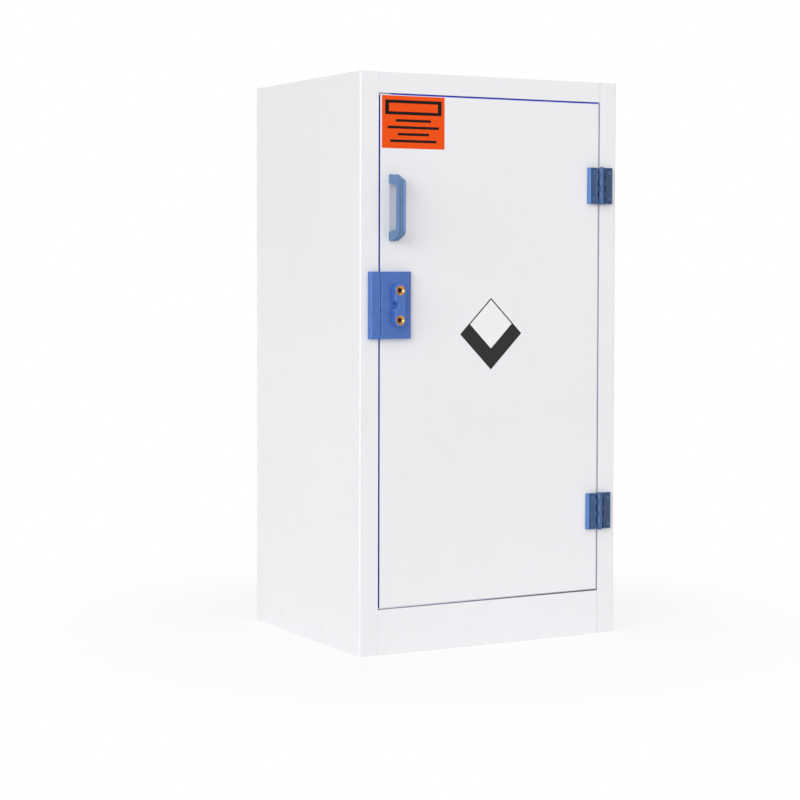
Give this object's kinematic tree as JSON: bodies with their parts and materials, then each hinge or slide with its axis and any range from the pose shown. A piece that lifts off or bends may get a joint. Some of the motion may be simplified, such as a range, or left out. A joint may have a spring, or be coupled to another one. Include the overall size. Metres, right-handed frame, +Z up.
{
  "type": "acid and alkali storage cabinet",
  "caption": "Free-standing cabinet of welded plastic sheet for acids and alkalis, with a hinged door, key locks that slide bolts into a keeper, a pull handle and a lift-out tray shelf.",
  "frame": {"origin": "middle of the footprint on the ground, the pull handle's reach counted in the depth", "axes": "+Z up, the door faces -Y, +X to the right of someone who faces the door"},
  "size_m": [0.59, 0.5, 1.12],
  "materials": {
    "white_sheet": "smooth semi-gloss sheet",
    "blue_strip": "satin strip",
    "blue_moulding": "satin moulding",
    "pale_blue_moulding": "satin moulding",
    "bolt_plastic": "satin moulding",
    "brass": "polished",
    "steel": "fine brushed"
  },
  "bodies": {
    "cabinet": {"left_side_panel": "white_sheet", "right_side_panel": "white_sheet", "back_panel": "white_sheet", "floor_panel": "white_sheet", "top_panel": "white_sheet", "bottom_rail": "white_sheet", "top_rail": "white_sheet", "door_stop_left": "blue_strip", "door_stop_right": "blue_strip", "door_stop_bottom": "blue_strip", "door_stop_top": "blue_strip", "shelf_ledge_left_1": "white_sheet", "shelf_ledge_left_2": "white_sheet", "shelf_ledge_left_3": "white_sheet", "shelf_ledge_left_4": "white_sheet", "shelf_ledge_right_1": "white_sheet", "shelf_ledge_right_2": "white_sheet", "shelf_ledge_right_3": "white_sheet", "shelf_ledge_right_4": "white_sheet", "upper_hinge_frame_leaf": "blue_moulding", "upper_hinge_frame_screw_1": "blue_moulding", "upper_hinge_frame_screw_2": "blue_moulding", "upper_hinge_pin": "blue_moulding", "lower_hinge_frame_leaf": "blue_moulding", "lower_hinge_frame_screw_1": "blue_moulding", "lower_hinge_frame_screw_2": "blue_moulding", "lower_hinge_pin": "blue_moulding", "lock_keeper": "blue_moulding", "keeper_screw_1": "steel", "keeper_screw_2": "steel"},
    "door": {"door_panel": "white_sheet", "door_edge_trim": "blue_strip", "door_stiffener_left": "white_sheet", "door_stiffener_right": "white_sheet", "pull_handle": "pale_blue_moulding", "handle_screw_1": "steel", "handle_screw_2": "steel", "upper_hinge_door_leaf": "blue_moulding", "upper_hinge_door_screw_1": "blue_moulding", "upper_hinge_door_screw_2": "blue_moulding", "lower_hinge_door_leaf": "blue_moulding", "lower_hinge_door_screw_1": "blue_moulding", "lower_hinge_door_screw_2": "blue_moulding", "lock_housing": "blue_moulding", "lock_screw_1": "steel", "lock_screw_2": "steel", "lock_screw_3": "steel", "lock_screw_4": "steel", "cylinder_block": "blue_moulding", "upper_cylinder_barrel": "brass", "lower_cylinder_barrel": "brass"},
    "upper_key": {"upper_key_plug": "steel", "upper_key_crank": "steel"},
    "lower_key": {"lower_key_plug": "steel", "lower_key_crank": "steel"},
    "upper_bolt": {"upper_bolt": "bolt_plastic"},
    "lower_bolt": {"lower_bolt": "bolt_plastic"},
    "shelf": {"shelf_tray": "white_sheet"}
  },
  "joints": [
    {"name": "door_swing", "type": "hinge", "parent": "cabinet", "child": "door", "pos_m": [0.2539, -0.219, 0.5815], "axis": [0, 0, 1], "range_deg": [0, 180]},
    {"name": "upper_key_turn", "type": "hinge", "parent": "door", "child": "upper_key", "pos_m": [-0.221, -0.21, 0.703], "axis": [0, -1, 0], "range_deg": [0, 90]},
    {"name": "lower_key_turn", "type": "hinge", "parent": "door", "child": "lower_key", "pos_m": [-0.221, -0.21, 0.646], "axis": [0, -1, 0], "range_deg": [0, 90]},
    {"name": "upper_bolt_throw", "type": "slide", "parent": "door", "child": "upper_bolt", "axis": [-1, 0, 0], "range_m": [0, 0.01202]},
    {"name": "lower_bolt_throw", "type": "slide", "parent": "door", "child": "lower_bolt", "axis": [-1, 0, 0], "range_m": [0, 0.01202]},
    {"name": "shelf_lift", "type": "slide", "parent": "cabinet", "child": "shelf", "axis": [0, 0, 1], "range_m": [0, 0.135]}
  ],
  "couplings": [
    {"joint": "upper_key_turn", "follows": "upper_bolt_throw", "rad_per_m": 130.68},
    {"joint": "lower_key_turn", "follows": "lower_bolt_throw", "rad_per_m": 130.68}
  ]
}
